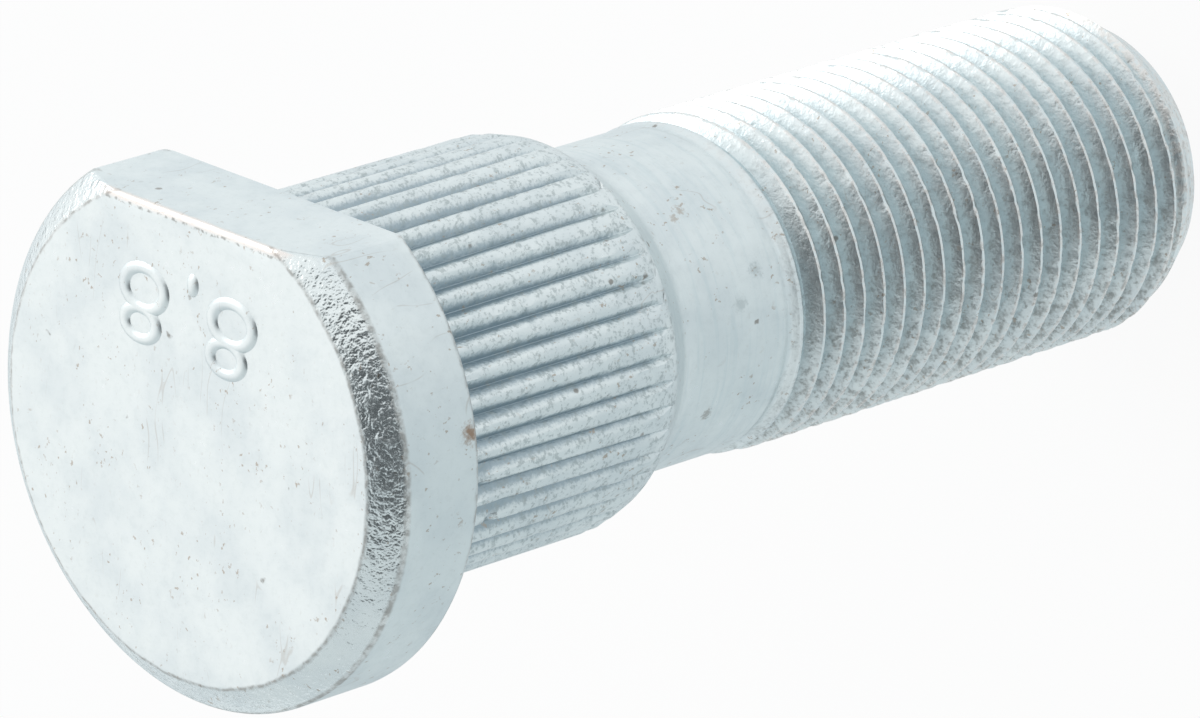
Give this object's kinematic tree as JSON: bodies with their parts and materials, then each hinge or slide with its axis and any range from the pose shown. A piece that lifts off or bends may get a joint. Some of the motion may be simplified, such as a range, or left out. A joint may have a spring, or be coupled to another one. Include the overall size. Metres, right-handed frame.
{
  "type": "wheel bolt",
  "caption": "Press-in wheel bolt with a D-shaped bevelled head, a knurled collar, a plain neck and a fine thread, zinc plated.",
  "frame": {"origin": "centre of the thread's flat end, which the bolt stands on", "axes": "+Z along the bolt's axis, from the thread's end up to the head; +X out of the flat on the head's rim"},
  "size_m": [0.0256, 0.0284, 0.0664],
  "materials": {
    "zinc_steel": "bright zinc plating, worn on its edges"
  },
  "bodies": {
    "root": {"wheel_bolt": "zinc_steel"}
  },
  "joints": []
}
